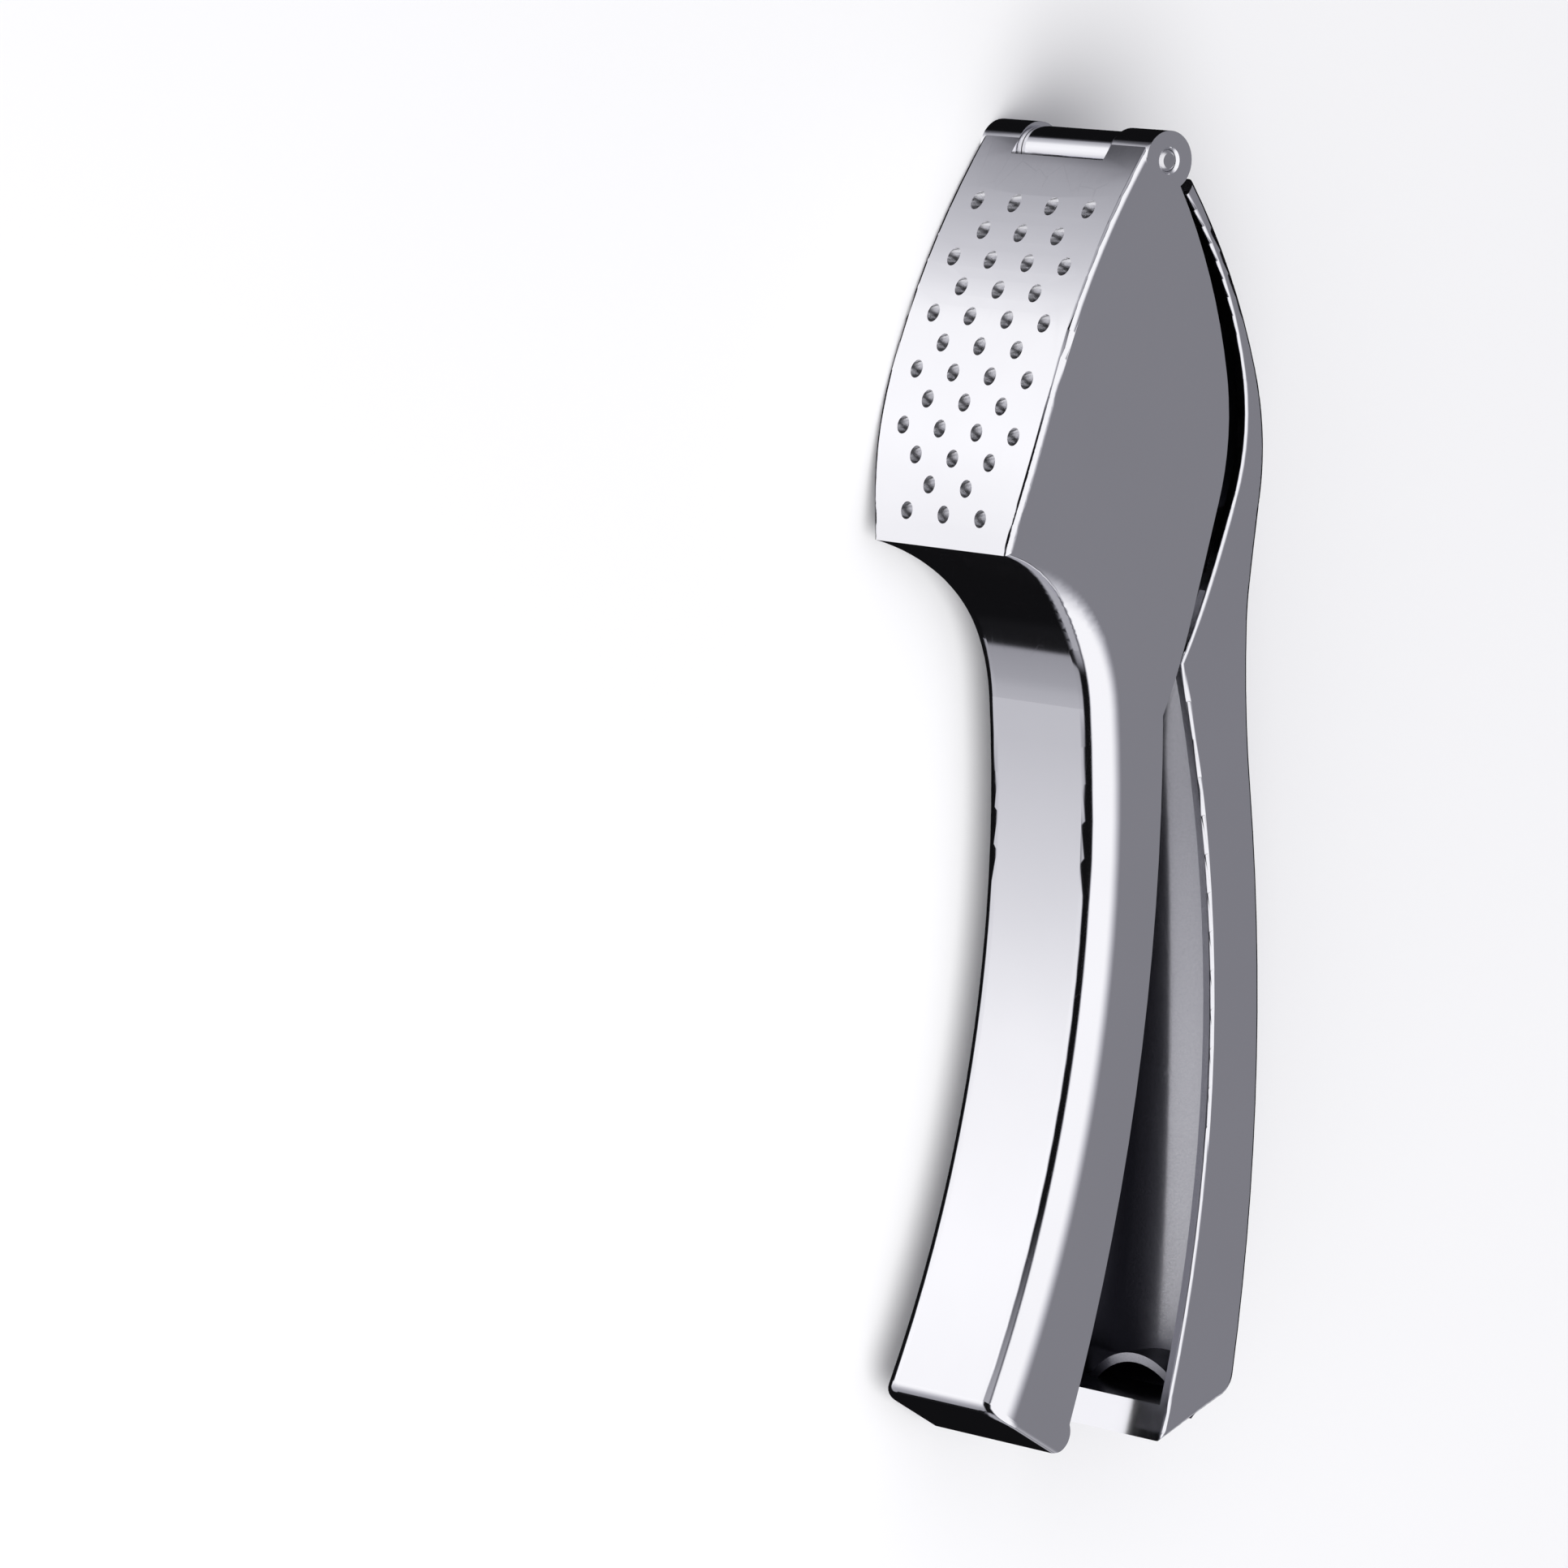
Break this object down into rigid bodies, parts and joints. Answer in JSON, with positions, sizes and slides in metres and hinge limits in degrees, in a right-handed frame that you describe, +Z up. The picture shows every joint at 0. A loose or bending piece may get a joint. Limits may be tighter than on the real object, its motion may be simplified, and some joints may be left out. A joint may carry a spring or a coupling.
{
  "type": "garlic press",
  "caption": "Hand-held garlic press: a hollow handle with a perforated basket, and a lever with a plunger hinged to it at the head. Polished metal, shown closed and lying on its side.",
  "frame": {"origin": "the middle of the left cheek's outer face, on the plane the closed press lies on; the hinge axis passes 3 mm to +X and 17 mm to +Y of it", "axes": "+Z up, along the hinge pin towards the right cheek; +Y from the handle ends towards the hinge; -X towards the sieve, +X towards the lever's back"},
  "size_m": [0.0488, 0.1844, 0.0352],
  "materials": {
    "basket_handle": "polished die-cast, chrome plated",
    "press_handle": "polished die-cast, chrome plated",
    "plunger": "polished die-cast, chrome plated",
    "hinge_pin": "turned steel",
    "hinge_washers": "turned steel",
    "plunger_pins": "turned steel"
  },
  "bodies": {
    "basket": {"basket_handle": "basket_handle", "hinge_pin": "hinge_pin", "hinge_washers": "hinge_washers"},
    "lever": {"press_handle": "press_handle", "plunger": "plunger", "plunger_pins": "plunger_pins"}
  },
  "joints": [
    {"name": "main_hinge", "type": "hinge", "parent": "basket", "child": "lever", "pos_m": [0.003, 0.017, 0.0176], "axis": [0, 0, 1], "range_deg": [0, 110]}
  ]
}
